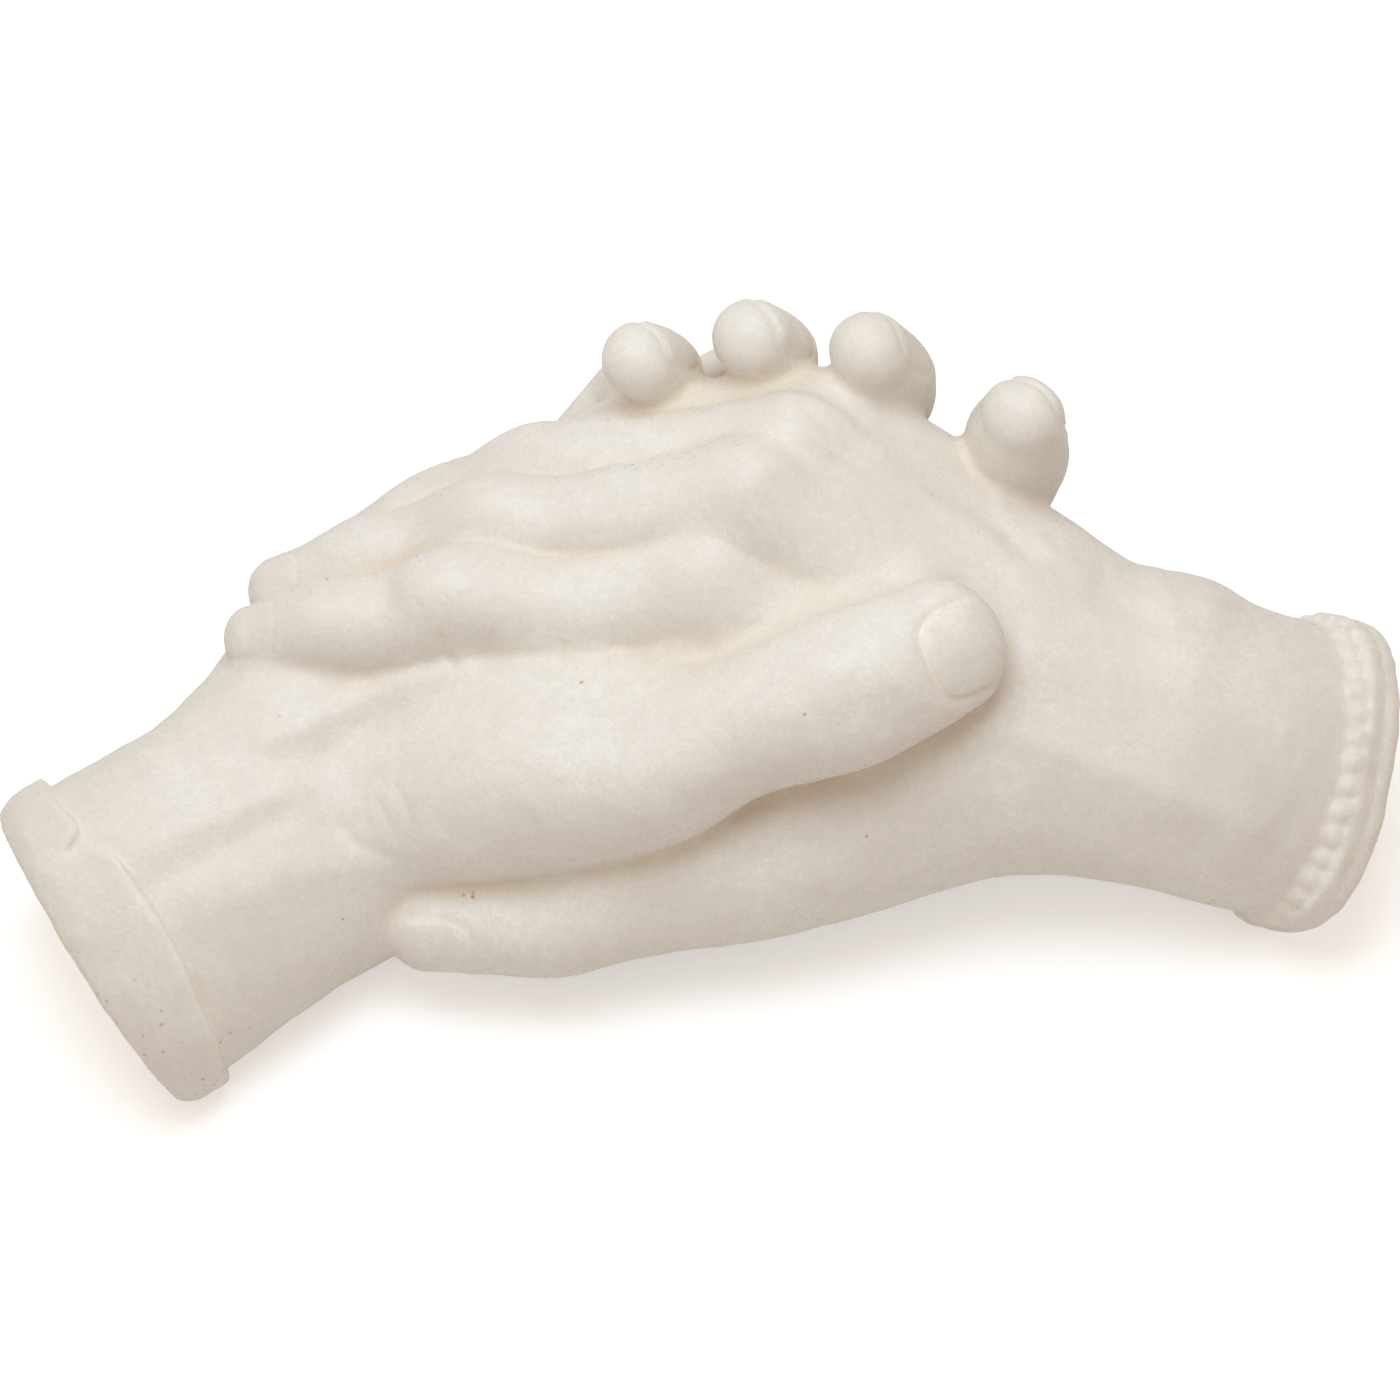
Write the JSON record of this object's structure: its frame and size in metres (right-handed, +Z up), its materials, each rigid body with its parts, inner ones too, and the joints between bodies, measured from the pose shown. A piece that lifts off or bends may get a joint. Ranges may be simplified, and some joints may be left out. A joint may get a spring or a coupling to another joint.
{
  "type": "handshake sculpture",
  "caption": "Free-standing stone sculpture of two clasped right hands ended at the cuffs, cast as one piece.",
  "frame": {"origin": "centre of the bounding box at its bottom, where the sculpture stands", "axes": "+X runs along the sculpture from the lower hand's plain cuff to the upper hand's beaded cuff, +Y towards the tips of the hooked fingers, +Z up"},
  "size_m": [0.2204, 0.1248, 0.07],
  "materials": {
    "stone": "satin pale stone"
  },
  "bodies": {
    "root": {"handshake": "stone"}
  },
  "joints": []
}
